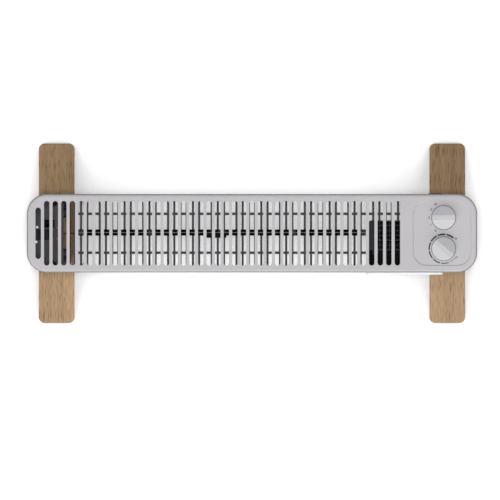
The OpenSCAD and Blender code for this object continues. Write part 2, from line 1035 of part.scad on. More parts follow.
// Runs of ribbon up and down the sheet, as one outline
module ribbon_outline(first_x, runs) {
    h = ribbon_w / 2;
    left = [for (k = [0 : runs]) let (s = k % 2 == 0 ? -h : h, x = first_x + k * ribbon_pitch)
        each k % 2 == 0 ? [[x + s, ribbon_low_z + h], [x + s, ribbon_high_z + h]]
            : [[x + s, ribbon_high_z + h], [x + s, ribbon_low_z + h]]];
    right = [for (k = [0 : runs]) let (s = k % 2 == 0 ? h : -h, x = first_x + k * ribbon_pitch)
        each k % 2 == 0 ? [[x + s, ribbon_low_z - h], [x + s, ribbon_high_z - h]]
            : [[x + s, ribbon_high_z - h], [x + s, ribbon_low_z - h]]];
    polygon(concat(left, [for (i = [len(right) - 1 : -1 : 0]) right[i]]));
}

module low_heat_ribbon() {
    color("slategray")
        along_y(element_y - element_t / 2 - ribbon_t, ribbon_t)
            ribbon_outline(ribbon_edge - element_start, ribbon_runs);
}

module high_heat_ribbon() {
    color("slategray")
        along_y(element_y + element_t / 2, ribbon_t)
            ribbon_outline(ribbon_edge - element_start, ribbon_runs);
}

// An end bracket of the element, from panel to panel, with its tabs towards -X
module element_bracket() {
    reach = panel_in_y - element_bracket_gap;
    difference() {
        union() {
            block([0, -reach, element_bracket_z],
                [element_bracket_t, reach, element_bracket_z + element_bracket_h]);
            for (y = [-1, 1])
                block([-element_tab, y * reach, element_bracket_z], [element_bracket_t,
                    y * (reach - element_bracket_t), element_bracket_z + element_bracket_h]);
        }
        for (y = [-1, 1], z = [0, 1])
            translate([-over, y * reach / 2, element_bracket_z + element_bracket_h * (1 + 2 * z) / 4])
                rotate([90, 0, 90])
                    linear_extrude(element_bracket_t + 2 * over)
                        rotate(90)
                            stadium(bracket_slot_h / 2, bracket_slot_h);
    }
}

module left_element_bracket() {
    color("silver")
        translate([bracket_left_x, 0, 0])
            element_bracket();
}

module right_element_bracket() {
    color("silver")
        translate([bracket_right_x + element_bracket_t, 0, 0])
            mirror([1, 0, 0])
                element_bracket();
}

module thermal_cutout() {
    color("black")
        difference() {
            block([-cutout_x - cutout_l / 2, cutout_face_y - cutout_t, cutout_z],
                [-cutout_x + cutout_l / 2, cutout_face_y, cutout_z + cutout_h]);
            for (x = [-1, 1])
                block([-cutout_x + x * cutout_l / 3 - tab_t, cutout_face_y - cutout_t - over,
                        cutout_z + cutout_h / 3],
                    [-cutout_x + x * cutout_l / 3 + tab_t, cutout_face_y - cutout_t / 2,
                        cutout_z + cutout_h + over]);
        }
}

// The clip rises from the channel and turns out under the cut-out
module cutout_clip() {
    low_y = element_y - channel_w / 2 - clip_t;
    color("silver") {
        block([-cutout_x - clip_w / 2, low_y, element_z],
            [-cutout_x + clip_w / 2, low_y + clip_t, cutout_z]);
        block([-cutout_x - cutout_l / 2, cutout_face_y - cutout_t, cutout_z - clip_t],
            [-cutout_x + cutout_l / 2, cutout_face_y - cutout_t / 3, cutout_z]);
    }
}

// The fuse lies upright in a block on the heat shield's cool side
module thermal_fuse() {
    color("ivory")
        translate([fuse_x, 0, fuse_z]) {
            cylinder(r = fuse_r, h = fuse_l);
            for (z = [-fuse_r, fuse_l])
                translate([0, 0, z])
                    cylinder(r = fuse_r / 4, h = fuse_r);
            block([-fuse_r - fuse_clip_t, -fuse_r, fuse_l / 3], [0, fuse_r, fuse_l * 2 / 3]);
        }
}

// Tilt switch: a case that is open at its two ends, with a pendulum on a pin along Y

module tilt_switch_case() {
    color("black")
        translate([tilt_x, tilt_y, floor_z]) {
            difference() {
                cube([tilt_w, tilt_d, tilt_h]);
                translate([-over, tilt_wall, tilt_wall])
                    cube([tilt_w + 2 * over, tilt_d - 2 * tilt_wall, tilt_h - 2 * tilt_wall]);
            }
            translate([tilt_w / 2, tilt_wall / 2, tilt_h - pin_head])
                rotate([-90, 0, 0])
                    cylinder(r = pin_r, h = tilt_d - tilt_wall);
        }
}

module tilt_pendulum() {
    bob_z = tilt_h - pin_head - bob_drop;
    color("silver")
        translate([tilt_x + tilt_w / 2, tilt_y + tilt_d / 2, floor_z])
            difference() {
                union() {
                    translate([0, 0, bob_z - bob_l / 2])
                        cylinder(r = bob_d / 2, h = bob_l);
                    translate([0, 0, bob_z])
                        cylinder(r = rod_r, h = bob_drop - pin_r - rod_r / 2);
                    translate([0, rod_r * 2, tilt_h - pin_head])
                        rotate([90, 0, 0])
                            cylinder(r = pin_r + rod_r, h = rod_r * 4);
                }
                translate([0, tilt_d / 2, tilt_h - pin_head])
                    rotate([90, 0, 0])
                        cylinder(r = pin_r + running, h = tilt_d);
            }
}

// A block with two rows of clamp screws
module clamp_block(w, d, h, rows, pitch) {
    difference() {
        cube([w, d, h]);
        for (i = [0 : rows - 1])
            translate([w / 2 + (i - (rows - 1) / 2) * pitch, 0, 0])
                for (y = [1, 3])
                    translate([0, y * d / 4, h * 2 / 3])
                        cylinder(r = clamp_r, h = h);
    }
}

module junction_block() {
    color("black")
        translate([junction_x, junction_y, floor_z])
            clamp_block(junction_w, junction_d, junction_h, 2, clamp_pitch);
}

module terminal_block() {
    color("ivory")
        translate([terminal_x, terminal_y, floor_z])
            clamp_block(terminal_w, terminal_d, terminal_h, 3, terminal_pitch);
}

// Heat shield between the hot side and the controls

module heat_shield() {
    reach = panel_in_y - element_bracket_gap;
    color("silver")
        difference() {
            union() {
                block([shield_x, -reach, shield_low_z], [shield_x + sheet_t, reach, shield_high_z]);
                for (y = [-1, 1])
                    block([shield_x, y * reach, shield_low_z],
                        [shield_x + shield_tab, y * (reach - sheet_t), shield_high_z]);
            }
            for (y = [-wire_hole_y, wire_hole_y])
                translate([shield_x - over, y, wire_hole_z])
                    rotate([0, 90, 0])
                        cylinder(r = wire_hole_r, h = sheet_t + 2 * over);
        }
}

// Controls under the top plate

module control_bracket() {
    color("silver")
        difference() {
            translate([knob_x, 0, control_plate_z])
                linear_extrude(control_plate_t)
                    rounded(control_plate_w, control_plate_l, control_plate_r);
            for (y = [-knob_y, knob_y])
                translate([knob_x, y, control_plate_z - over])
                    cylinder(r = bush_r + bush_gap, h = control_plate_t + 2 * over);
            at_posts(control_plate_z - over)
                cylinder(r = control_screw_r + screw_gap, h = control_plate_t + 2 * over);
        }
}

module control_screws() {
    color("silver")
        at_posts(control_plate_z)
            rotate([180, 0, 0])
                pan_screw(control_screw_r, control_screw_l, screw_head_r, screw_head_h);
}

// The bush of a spindle: it stands on the switch and passes the bracket
module spindle_bush() {
    translate([0, 0, -over])
        cylinder(r = bush_r, h = bush_h + control_plate_t + over);
}

module spindle_bore() {
    translate([0, 0, -spindle_depth - fit])
        cylinder(r = spindle_r + running, h = spindle_depth + bush_h + control_plate_t + over + fit);
}

module power_switch() {
    color("dimgray")
        translate([knob_x, knob_y, control_plate_z])
            difference() {
                union() {
                    translate([0, 0, -switch_h])
                        cylinder(r = switch_r, h = switch_h);
                    spindle_bush();
                    for (i = [0 : 4])
                        rotate(i * 360 / 5)
                            translate([tab_ring_r - tab_t / 2, -tab_w / 2, -switch_h - tab_h])
                                cube([tab_t, tab_w, tab_h + over]);
                }
                spindle_bore();
            }
}

module thermostat() {
    color("ivory")
        translate([knob_x, -knob_y, control_plate_z])
            difference() {
                union() {
                    translate([0, 0, -heat_body_h])
                        linear_extrude(heat_body_h)
                            rounded(heat_body_w, heat_body_l, heat_body_r);
                    spindle_bush();
                    translate([-bimetal_l / 2, -bimetal_w / 2, -heat_body_h - bimetal_drop])
                        cube([bimetal_l, bimetal_w, bimetal_t]);
                    translate([bimetal_l / 2 - bimetal_w, -bimetal_w / 2, -heat_body_h - bimetal_drop])
                        cube([bimetal_w, bimetal_w, bimetal_drop + over]);
                    for (y = [-1, 1])
                        translate([-heat_body_w / 2 + bimetal_t, y * bimetal_w - tab_w / 2,
                                -heat_body_h - tab_h])
                            cube([tab_t, tab_w, tab_h + over]);
                }
                spindle_bore();
            }
}

module spindle(y) {
    color("silver")
        translate([knob_x, y, control_plate_z - spindle_depth])
            cylinder(r = spindle_r, h = knob_z + knob_bore_h - fit - control_plate_z + spindle_depth);
}

module power_spindle() { spindle(knob_y); }
module thermostat_spindle() { spindle(-knob_y); }

// A knob with its level grip bar along X, between two slopes
module knob(y, turn) {
    grip = grip_w / 2;
    slope = atan((knob_h - knob_rim_h) / (knob_r - grip));
    color("lightgray")
        translate([knob_x, y, knob_z])
            rotate(turn)
                difference() {
                    cylinder(r = knob_r, h = knob_h);
                    for (side = [0, 180])
                        rotate(side)
                            translate([-knob_r - over, grip, knob_h])
                                rotate([-slope, 0, 0])
                                    cube([knob_d + 2 * over, knob_d, knob_h]);
                    difference() {
                        translate([0, 0, -over])
                            cylinder(r = knob_r - knob_wall, h = knob_hollow_h + over);
                        translate([0, 0, -2 * over])
                            cylinder(r = knob_boss_r, h = knob_hollow_h + 3 * over);
                    }
                    translate([0, 0, -over])
                        cylinder(r = spindle_r + running, h = knob_bore_h + over);
                }
}

module power_knob() { knob(knob_y, power_turn); }
module thermostat_knob() { knob(-knob_y, heat_turn); }

// Turbo fan, with its shapes drawn in Y and Z from the impeller's axis

module at_axis() {
    translate([0, axis_y, axis_z])
        children();
}

// Section of the air way, grown outwards by wall; it runs past the two mouths by more
module air_way(wall, more) {
    circle(scroll_r + wall);
    translate([-intake_front - wall, 0])
        square([intake_front + scroll_r + 2 * wall, fan_head + more]);
    translate([-fan_front - more, -scroll_r - wall])
        square([fan_front + more, outlet_h - 2 * (fan_wall - wall)]);
}

module fan_housing() {
    color("black")
        at_axis()
            difference() {
                union() {
                    along_x(fan_start, fan_l)
                        air_way(fan_wall, 0);
                    for (x = [fan_start, fan_end - fan_wall])
                        along_x(x, fan_wall)
                            translate([(scroll_r + fan_wall - fan_front) / 2,
                                    (fan_head - scroll_r - fan_wall) / 2])
                                rounded(scroll_r + fan_wall + fan_front,
                                    fan_head + scroll_r + fan_wall, fan_corner_r);
                    block([fan_start, -fan_front, fan_head - fan_wall],
                        [fan_end, -intake_front, fan_head]);
                }
                along_x(fan_start + fan_wall, fan_l - 2 * fan_wall)
                    air_way(0, over);
                along_x(fan_start - over, fan_l / 2)
                    circle(bearing_r + running);
                along_x(fan_end - fan_wall - over, fan_wall + 2 * over)
                    circle(bearing_r + running);
                for (x = [fan_start + ear_inset, fan_end - ear_inset])
                    translate([x, ear_y - axis_y, fan_head - fan_wall - over])
                        cylinder(r = control_screw_r + running, h = fan_wall + 2 * over);
                translate([fan_start + fan_l / 2, scroll_r + fan_wall - casing_d, -fan_h])
                    linear_extrude(2 * fan_h)
                        difference() {
                            square([fan_l + 2 * over, 2 * (casing_d + over)], center = true);
                            rounded(fan_l, 2 * casing_d, guard_corner_r);
                        }
            }
}

module fan_guard() {
    frame_d = intake_front + scroll_r + 2 * fan_wall;
    wires_x = floor((fan_l - 2 * guard_side) / guard_pitch);
    wires_y = floor((frame_d - 2 * guard_rim) / guard_pitch);
    color("gray")
        translate([fan_start, fan_back - frame_d, fan_top_z])
            linear_extrude(guard_t) {
                difference() {
                    translate([fan_l, frame_d] / 2)
                        rounded(fan_l, frame_d, guard_corner_r);
                    translate([guard_side, guard_rim])
                        square([fan_l - 2 * guard_side, frame_d - 2 * guard_rim]);
                }
                for (i = [1 : wires_x])
                    translate([(fan_l - (wires_x + 1) * guard_pitch) / 2 + i * guard_pitch
                            - guard_wire / 2, 0])
                        square([guard_wire, frame_d]);
                for (i = [1 : wires_y])
                    translate([0, (frame_d - (wires_y + 1) * guard_pitch) / 2 + i * guard_pitch
                            - guard_wire / 2])
                        square([fan_l, guard_wire]);
                for (x = [ear_inset, fan_l - ear_inset])
                    translate([x, -ear_reach])
                        difference() {
                            union() {
                                circle(ear_r);
                                translate([-ear_r, 0])
                                    square([2 * ear_r, ear_reach + guard_rim / 2]);
                            }
                            circle(control_screw_r + screw_gap);
                        }
            }
}

module outlet_grille() {
    mid_x = fan_start + fan_l / 2;
    mid_z = fan_z + outlet_h / 2;
    open_w = mouth_w - 2 * fit - 2 * hook_t;
    open_h = outlet_h - 2 * fan_wall - 2 * fit - 2 * hook_t;
    color("whitesmoke")
        translate([mid_x, 0, mid_z]) {
            difference() {
                union() {
                    along_y(-half_d - outlet_proud, outlet_proud)
                        rounded(outlet_grille_w, outlet_grille_h, grille_corner_r);
                    along_y(-half_d - outlet_proud / 2, outlet_proud / 2 + sheet_t + shell_t)
                        square([open_w + 2 * hook_t, open_h + 2 * hook_t], center = true);
                }
                along_y(-half_d - outlet_proud - over, outlet_proud + sheet_t + shell_t + 2 * over)
                    square([open_w, open_h], center = true);
            }
            for (i = [1 : louvre_count])
                translate([-open_w / 2 - over / 2, -half_d - outlet_proud / 2 + louvre_d / 2,
                        -open_h / 2 + i * open_h / (louvre_count + 1)])
                    rotate([louvre_tilt, 0, 0])
                        translate([0, -louvre_d / 2, -louvre_t / 2])
                            cube([open_w + over, louvre_d, louvre_t]);
        }
}

// One curved blade, from the inner to the outer radius of the wheel
module blade() {
    span = 50;
    arc_shares = [for (k = [0 : 4]) k / 4];
    translate([(blade_in_r + impeller_r) / 2 - blade_t / 2, -blade_curve_r])
        polygon(concat(
            [for (s = arc_shares) (blade_curve_r + blade_t / 2)
                * [sin(span * (s - 1 / 2)), cos(span * (s - 1 / 2))]],
            [for (s = arc_shares) (blade_curve_r - blade_t / 2)
                * [sin(span * (1 / 2 - s)), cos(span * (1 / 2 - s))]]
        ));
}

module impeller() {
    x = fan_start + impeller_clear + fan_wall;
    l = fan_l - 2 * (impeller_clear + fan_wall);
    color("dimgray")
        at_axis()
            difference() {
                union() {
                    for (i = [0 : blade_count - 1])
                        along_x(x + disc_t / 2, l - disc_t)
                            rotate(i * 360 / blade_count)
                                blade();
                    for (disc_x = [x, x + l - disc_t])
                        along_x(disc_x, disc_t)
                            circle(impeller_r);
                    along_x(x, 2 * impeller_clear)
                        circle(hub_r);
                    along_x(x + l - 2 * impeller_clear, 2 * impeller_clear)
                        circle(hub_r);
                }
                along_x(x - over, l + 2 * over)
                    circle(shaft_r + running);
            }
}

module fan_shaft() {
    color("silver")
        at_axis()
            along_x(fan_start - over, bridge_end_x + bridge_t + shaft_tail + over - fan_start)
                circle(shaft_r);
}

module fan_bearing() {
    color("sienna")
        at_axis()
            difference() {
                union() {
                    along_x(fan_start - bearing_flange_t, bearing_l)
                        circle(bearing_r);
                    along_x(fan_start - bearing_flange_t, bearing_flange_t)
                        circle(bearing_flange_r);
                }
                along_x(fan_start - bearing_flange_t - over, bearing_l + 2 * over)
                    circle(shaft_r + running);
            }
}

module motor_rotor() {
    color("silver")
        at_axis()
            difference() {
                along_x(stack_x, stack_t)
                    circle(rotor_r);
                along_x(stack_x - over, stack_t + 2 * over)
                    circle(shaft_r + running);
            }
}

module motor_core() {
    color("slategray")
        at_axis()
            along_x(stack_x, stack_t)
                difference() {
                    translate([-core_half, -core_low])
                        square([2 * core_half, core_low + core_high]);
                    circle(rotor_r + air_gap);
                    translate([-window_half, window_low])
                        square([2 * window_half, window_high - window_low]);
                    for (y = [-stud_y, stud_y])
                        translate([y, 0])
                            circle(stud_r + running);
                }
}

module motor_coil() {
    color("firebrick")
        at_axis()
            difference() {
                block([stack_x - coil_over, -coil_half, window_low + coil_clear],
                    [stack_x + stack_t + coil_over, coil_half, core_high + coil_rise + coil_clear]);
                block([stack_x - coil_clear, -coil_half - over, window_high - coil_clear],
                    [stack_x + stack_t + coil_clear, coil_half + over, core_high + coil_clear]);
            }
}

// Two bearing bridges, held to the core by studs that run through it
module motor_bridges() {
    color("lightslategray")
        at_axis() {
            for (x = [fan_end + fit, bridge_end_x])
                along_x(x, bridge_t)
                    difference() {
                        union() {
                            square([2 * core_half, bridge_w], center = true);
                            circle(bearing_r + fit);
                        }
                        circle(shaft_r + running);
                    }
            for (y = [-stud_y, stud_y])
                along_x(fan_end + fit + bridge_t / 2, bridge_end_x - fan_end)
                    translate([y, 0])
                        circle(stud_r);
        }
}

module fan_screws() {
    color("dimgray")
        for (x = [fan_start + ear_inset, fan_end - ear_inset])
            translate([x, ear_y, fan_top_z + guard_t])
                pan_screw(control_screw_r, guard_t + fan_wall, screw_head_r, screw_head_h);
}

// Cable entry through the back panel

module cable_gland() {
    color("black")
        translate([gland_x, half_d + gland_flange_t, gland_z])
            rotate([90, 0, 0])
                difference() {
                    union() {
                        cylinder(r = gland_flange_r, h = gland_flange_t);
                        cylinder(r = gland_d / 2, h = gland_l);
                    }
                    translate([0, 0, -over])
                        cylinder(r = gland_bore / 2, h = gland_l + 2 * over);
                }
}

module gland_nut() {
    color("black")
        translate([gland_x, panel_in_y, gland_z])
            rotate([90, 0, 0])
                difference() {
                    cylinder(r = nut_r, h = nut_t, $fn = 6);
                    translate([0, 0, -over])
                        cylinder(r = gland_d / 2 + running, h = nut_t + 2 * over);
                }
}

// Inner wires: a smooth curve through each route, and a tube along it

function unit(v) = v / norm(v);

// Direction of the curve at point i of the route
function heading(p, i) =
    i == 0 ? unit(p[1] - p[0])
        : i == len(p) - 1 ? unit(p[i] - p[i - 1])
        : unit(unit(p[i] - p[i - 1]) + unit(p[i + 1] - p[i]));

function curve(p) = [
    for (i = [0 : len(p) - 2], k = [0 : wire_steps - 1])
        let (t = k / wire_steps, u = 1 - t, l = norm(p[i + 1] - p[i]))
            (1 + 2 * t) * u * u * p[i] + (1 + 2 * u) * t * t * p[i + 1]
                + l * t * u * (u * heading(p, i) - t * heading(p, i + 1)),
    p[len(p) - 1]
];

// Directions along the points of the curve p, from its first one to its last one
function tangents(p, first, last) = [
    first,
    for (i = [1 : len(p) - 2]) unit(p[i + 1] - p[i - 1]),
    last
];

function across(t) = unit(cross(t, abs(t.z) < 0.7 ? [0, 0, 1] : [0, 1, 0]));

module wire(route) {
    n = wire_sides;
    path = curve(route);
    end = len(path) - 1;
    ts = tangents(path, heading(route, 0), heading(route, len(route) - 1));
    ns = [for (i = 0, m = across(ts[0]); i <= end;
        i = i + 1, m = i <= end ? unit(m - (m * ts[i]) * ts[i]) : m) m];
    points = [for (i = [0 : end], k = [0 : n - 1])
        path[i] + wire_r * (cos(k * 360 / n) * ns[i] + sin(k * 360 / n) * cross(ts[i], ns[i]))];
    sides = [for (i = [0 : end - 1], k = [0 : n - 1])
        let (a = i * n + k, b = i * n + (k + 1) % n)
            each [[a, b + n, b], [a, a + n, b + n]]];
    caps = [for (k = [1 : n - 2]) each [[0, k, k + 1], [end * n, end * n + k + 1, end * n + k]]];
    polyhedron(points, concat(sides, caps));
}

wire_gap = 0.2;
wire_inset = 5;
wire_y = panel_in_y - wire_inset;
wire_low_z = rib_top_z + 2 * wire_r;
wire_under_z = element_bracket_z - 3 * wire_r;
lift = 12;
switch_low_z = control_plate_z - switch_h - tab_h - wire_gap;
heat_low_z = control_plate_z - heat_body_h - tab_h - wire_gap;
terminal_mid = [terminal_x + terminal_w / 2, terminal_y + terminal_d / 2, floor_z + terminal_h + wire_gap];
junction_mid = [junction_x + junction_w / 2, junction_y + junction_d / 2, floor_z + junction_h + wire_gap];
slat_x = junction_x + junction_w - clamp_pitch / 2;
heat_tab = [knob_x - heat_body_w / 2 + bimetal_t + tab_t / 2, bimetal_w - knob_y, heat_low_z];
fuse_low = [fuse_x, 0, fuse_z - fuse_r - wire_gap];
fuse_high = [fuse_x, 0, fuse_z + fuse_l + fuse_r + wire_gap];
coil_top = [stack_x + stack_t / 2, axis_y, axis_z + core_high + coil_rise + coil_clear + wire_gap];
ribbon_left_x = ribbon_edge - element_start;
ribbon_right_x = ribbon_left_x + ribbon_runs * ribbon_pitch;
ribbon_face = element_t / 2 + ribbon_t + wire_gap;
switch_tab = [for (i = [0 : 4]) [knob_x + tab_ring_r * cos(i * 72), knob_y + tab_ring_r * sin(i * 72),
    switch_low_z]];

// From a tab of the switch, through the heat shield, to the right end of a ribbon
function ribbon_route(tab, side) = [
    tab, tab - [0, 0, lift],
    [shield_x + 4 * lift, side * knob_r, wire_hole_z + 8 * lift],
    [shield_x + 3 * lift, side * wire_hole_y, wire_hole_z + 2 * lift],
    [shield_x + lift, side * wire_hole_y, wire_hole_z],
    [shield_x - lift, side * wire_hole_y, wire_hole_z],
    [ribbon_right_x + lift / 2, side * wire_y, wire_hole_z],
    [ribbon_right_x, side * (wire_y - lift / 2), wire_hole_z - lift / 2],
    [ribbon_right_x, element_y + side * 2 * lift, ribbon_high_z],
    [ribbon_right_x, element_y + side * (ribbon_face + lift / 2), ribbon_high_z - ribbon_w],
    [ribbon_right_x, element_y + side * ribbon_face, ribbon_high_z - ribbon_w]
];

// From the junction block, under the left bracket, to the left end of a ribbon
function junction_route(x, side) = [
    junction_mid + [x, 0, 0], junction_mid + [x, 0, lift / 2],
    [slat_x, junction_mid.y + side * lift / 2, junction_mid.z + lift],
    [slat_x, side * (wire_y - lift), junction_mid.z + lift],
    [slat_x + lift, side * (wire_y - ribbon_w), junction_mid.z + lift],
    [ribbon_left_x - lift / 2, side * (wire_y - ribbon_w), wire_under_z],
    [ribbon_left_x, side * (wire_y - lift), wire_under_z],
    [ribbon_left_x, element_y + side * 2 * lift, ribbon_low_z - lift],
    [ribbon_left_x, element_y + side * lift, ribbon_low_z + ribbon_w],
    [ribbon_left_x, element_y + side * ribbon_face, ribbon_low_z + ribbon_w]
];

wire_routes = [
    // From the terminal block to the fuse, and on to the switch
    [terminal_mid, terminal_mid + [0, 0, lift], [knob_x + lift, lift, fan_top_z + 2 * lift],
        [shield_x + 3 * lift, 0, fan_top_z + 4 * lift], fuse_low - [0, 0, 2 * lift], fuse_low],
    [fuse_high, fuse_high + [0, 0, lift], [shield_x + 2 * lift, knob_y / 2, switch_low_z - 3 * lift],
        switch_tab[0] - [0, 0, lift], switch_tab[0]],
    // From the terminal block along the back to the junction block
    [terminal_mid - [terminal_pitch, 0, 0], terminal_mid + [-terminal_pitch, 0, lift / 2],
        [terminal_x - lift, wire_y, terminal_mid.z - lift / 2],
        [terminal_x - 3 * lift, wire_y, wire_low_z], [2 * lift - element_start, wire_y, wire_low_z],
        [-element_start, wire_y, wire_low_z],
        [slat_x + lift, wire_y - lift / 2, junction_mid.z - lift / 2],
        [slat_x, wire_y - lift, junction_mid.z],
        junction_mid + [clamp_pitch / 2, 0, lift / 2], junction_mid + [clamp_pitch / 2, 0, 0]],
    // From the switch to the thermostat
    [switch_tab[3], switch_tab[3] - [0, 0, lift],
        [heat_tab.x, (switch_tab[3].y + heat_tab.y) / 2, heat_low_z - 2 * lift],
        heat_tab - [0, 0, lift], heat_tab],
    // From the switch down to the fan motor's coil
    [switch_tab[4], switch_tab[4] - [0, 0, lift], [knob_x + lift, 0, switch_low_z - 8 * lift],
        coil_top + [0, 0, 2 * lift], coil_top + [0, 0, lift / 2], coil_top],
    ribbon_route(switch_tab[2], 1),
    ribbon_route(switch_tab[1], -1),
    junction_route(-clamp_pitch / 2, 1),
    junction_route(0, -1)
];

module inner_wiring() {
    color("brown")
        for (route = wire_routes)
            wire(route);
}

top_grille();
front_panel();
back_panel();
left_end_cap();
right_end_cap();
bottom_grille();
left_front_leg();
left_rear_leg();
right_front_leg();
right_rear_leg();
left_foot_bracket();
right_foot_bracket();
foot_pads();
leg_screws();
bracket_screws();
casing_screws();
element_sheet();
element_channel();
element_insulators();
low_heat_ribbon();
high_heat_ribbon();
left_element_bracket();
right_element_bracket();
thermal_cutout();
cutout_clip();
thermal_fuse();
tilt_switch_case();
tilt_pendulum();
junction_block();
heat_shield();
control_bracket();
control_screws();
power_switch();
power_spindle();
power_knob();
thermostat();
thermostat_spindle();
thermostat_knob();
fan_housing();
fan_guard();
outlet_grille();
impeller();
fan_shaft();
fan_bearing();
motor_rotor();
motor_core();
motor_coil();
motor_bridges();
fan_screws();
terminal_block();
cable_gland();
gland_nut();
inner_wiring();
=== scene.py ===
"""Looks of the convector heater: materials, soft edges, dial marks, light and camera.

Metres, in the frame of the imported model: +X to the control end, -Y to the front, +Z up.
"""

import json
import math

import bpy
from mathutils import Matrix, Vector


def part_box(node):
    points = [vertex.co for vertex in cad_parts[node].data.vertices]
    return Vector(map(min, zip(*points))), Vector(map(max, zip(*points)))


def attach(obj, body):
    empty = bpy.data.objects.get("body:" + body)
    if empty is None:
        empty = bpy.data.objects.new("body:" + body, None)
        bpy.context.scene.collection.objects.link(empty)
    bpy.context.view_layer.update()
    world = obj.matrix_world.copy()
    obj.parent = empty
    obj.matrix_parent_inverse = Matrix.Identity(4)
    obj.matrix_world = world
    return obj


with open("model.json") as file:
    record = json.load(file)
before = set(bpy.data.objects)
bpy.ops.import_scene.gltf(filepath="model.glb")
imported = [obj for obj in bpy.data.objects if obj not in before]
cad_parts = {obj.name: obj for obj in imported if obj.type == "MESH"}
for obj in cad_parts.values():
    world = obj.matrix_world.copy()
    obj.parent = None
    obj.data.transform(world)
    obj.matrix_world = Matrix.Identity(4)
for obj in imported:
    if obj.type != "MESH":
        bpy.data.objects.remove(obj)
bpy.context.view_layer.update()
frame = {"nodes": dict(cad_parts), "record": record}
nodes = frame["nodes"]

MM = 0.001

# Places that the looks are measured from
power_low, power_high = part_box("power_knob")
heat_low, heat_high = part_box("thermostat_knob")
power_axis = (power_low + power_high) / 2
heat_axis = (heat_low + heat_high) / 2
grille_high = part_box("top_grille")[1].z
RECESS_DEPTH = 1.2 * MM
print_z = grille_high - RECESS_DEPTH


# Colours and materials

# Noise lies mostly between these two
NOISE_LOW, NOISE_HIGH = 0.3, 0.7
WHITE = (1, 1, 1, 1)


def linear(red, green, blue):
    """A colour written as 0 to 255, as the shader takes it."""
    shares = (red / 255, green / 255, blue / 255)
    return [c / 12.92 if c <= 0.04045 else ((c + 0.055) / 1.055) ** 2.4 for c in shares]


def shaded(colour, share):
    """A colour made darker or lighter by share, with its alpha."""
    return (*[min(1.0, c * share) for c in colour], 1.0)


class Finish:
    """A material built from noise in the part's own coordinates, in metres."""

    def __init__(self, name, metallic=0.0, coat=0.0, coat_rough=0.1, specular=0.5):
        self.material = bpy.data.materials.new(name)
        self.material.use_nodes = True
        self.tree = self.material.node_tree
        self.shader = self.tree.nodes["Principled BSDF"]
        self.shader.inputs["Metallic"].default_value = metallic
        self.shader.inputs["Coat Weight"].default_value = coat
        self.shader.inputs["Coat Roughness"].default_value = coat_rough
        self.shader.inputs["Specular IOR Level"].default_value = specular
        self.place = self.tree.nodes.new("ShaderNodeTexCoord").outputs["Object"]

    def feed(self, socket, value):
        """Links an output to the socket, or sets the socket to a plain value."""
        if isinstance(value, bpy.types.NodeSocket):
            self.tree.links.new(value, socket)
        else:
            socket.default_value = value

    def node(self, kind, **inputs):
        """A shader node; each input is named with _ for a space."""
        made = self.tree.nodes.new("ShaderNode" + kind)
        for name, value in inputs.items():
            self.feed(made.inputs[name.replace("_", " ")], value)
        return made

    def maths(self, how, *values):
        """One operation on plain values or outputs."""
        made = self.tree.nodes.new("ShaderNodeMath")
        made.operation = how
        for socket, value in zip(made.inputs, values):
            self.feed(socket, value)
        return made.outputs[0]

    def noise(self, scale, detail=2.0, stretch=(1, 1, 1), warp=0.0):
        """Noise with features of about 1/scale metres, longer where stretch is below 1."""
        vector = self.node("Mapping", Vector=self.place, Scale=stretch).outputs[0]
        made = self.node("TexNoise", Vector=vector, Scale=scale, Detail=detail, Distortion=warp)
        return made.outputs["Fac"]

    def ramp(self, value, stops):
        """A colour for each value, between stops of position and colour."""
        made = self.node("ValToRGB", Fac=value)
        elements = made.color_ramp.elements
        while len(elements) < len(stops):
            elements.new(0.5)
        for element, (at, colour) in zip(elements, stops):
            element.position = at
            element.color = colour
        return made.outputs["Color"]

    def remap(self, value, source, target):
        """value taken from the two ends of source to those of target."""
        made = self.node("MapRange", Value=value, From_Min=source[0], From_Max=source[1],
                         To_Min=target[0], To_Max=target[1])
        return made.outputs["Result"]

    def spread(self, value, low, high):
        """Noise taken to low and high."""
        return self.remap(value, (NOISE_LOW, NOISE_HIGH), (low, high))

    def clouded(self, value, colour, change):
        """A colour that noise makes darker and lighter by the share change."""
        return self.ramp(value, [(NOISE_LOW, shaded(colour, 1 - change)),
                                 (NOISE_HIGH, shaded(colour, 1 + change))])

    def mix(self, factor, first, second, how="MIX"):
        """Two colours blended."""
        made = self.tree.nodes.new("ShaderNodeMix")
        made.data_type = "RGBA"
        made.blend_type = how
        # The sockets of a mix of colours: factor, A and B, and the result
        for socket, value in ((0, factor), (6, first), (7, second)):
            self.feed(made.inputs[socket], value)
        return made.outputs[2]

    def product(self, first, *others):
        """Colours multiplied together; a plain value stands for a grey."""
        for other in others:
            first = self.mix(1.0, first, other, "MULTIPLY")
        return first

    def finish(self, colour, rough, height=None, depth=0.0, strength=1.0):
        """Joins colour, roughness and a bump of depth metres to the shader."""
        self.tree.links.new(colour, self.shader.inputs["Base Color"])
        self.tree.links.new(rough, self.shader.inputs["Roughness"])
        if height is not None:
            bump = self.node("Bump", Height=height, Strength=strength, Distance=depth)
            self.tree.links.new(bump.outputs["Normal"], self.shader.inputs["Normal"])
        return self.material


# Painted shade in the low places of the plate, in the wells round the knobs and in a line round its
# edge: shares of the depth, up from its bottom, with the tone there
SHADE_BAND_DEPTH = 5 * MM
PAINTED_SHADE_TONE = (0.42, 0.42, 0.42, 1)
SHADE_BAND_STOPS = ((0.12, WHITE), (0.25, PAINTED_SHADE_TONE), (0.66, PAINTED_SHADE_TONE), (0.74, WHITE))


def painted_edge_shade(made):
    """Painted shade: dark in the wells round the knobs and in a line round the plate's edge, white
    elsewhere.
    """
    level = made.node("SeparateXYZ", Vector=made.place).outputs["Z"]
    share = made.remap(level, (grille_high - SHADE_BAND_DEPTH, grille_high), (0.0, 1.0))
    return made.ramp(share, SHADE_BAND_STOPS)


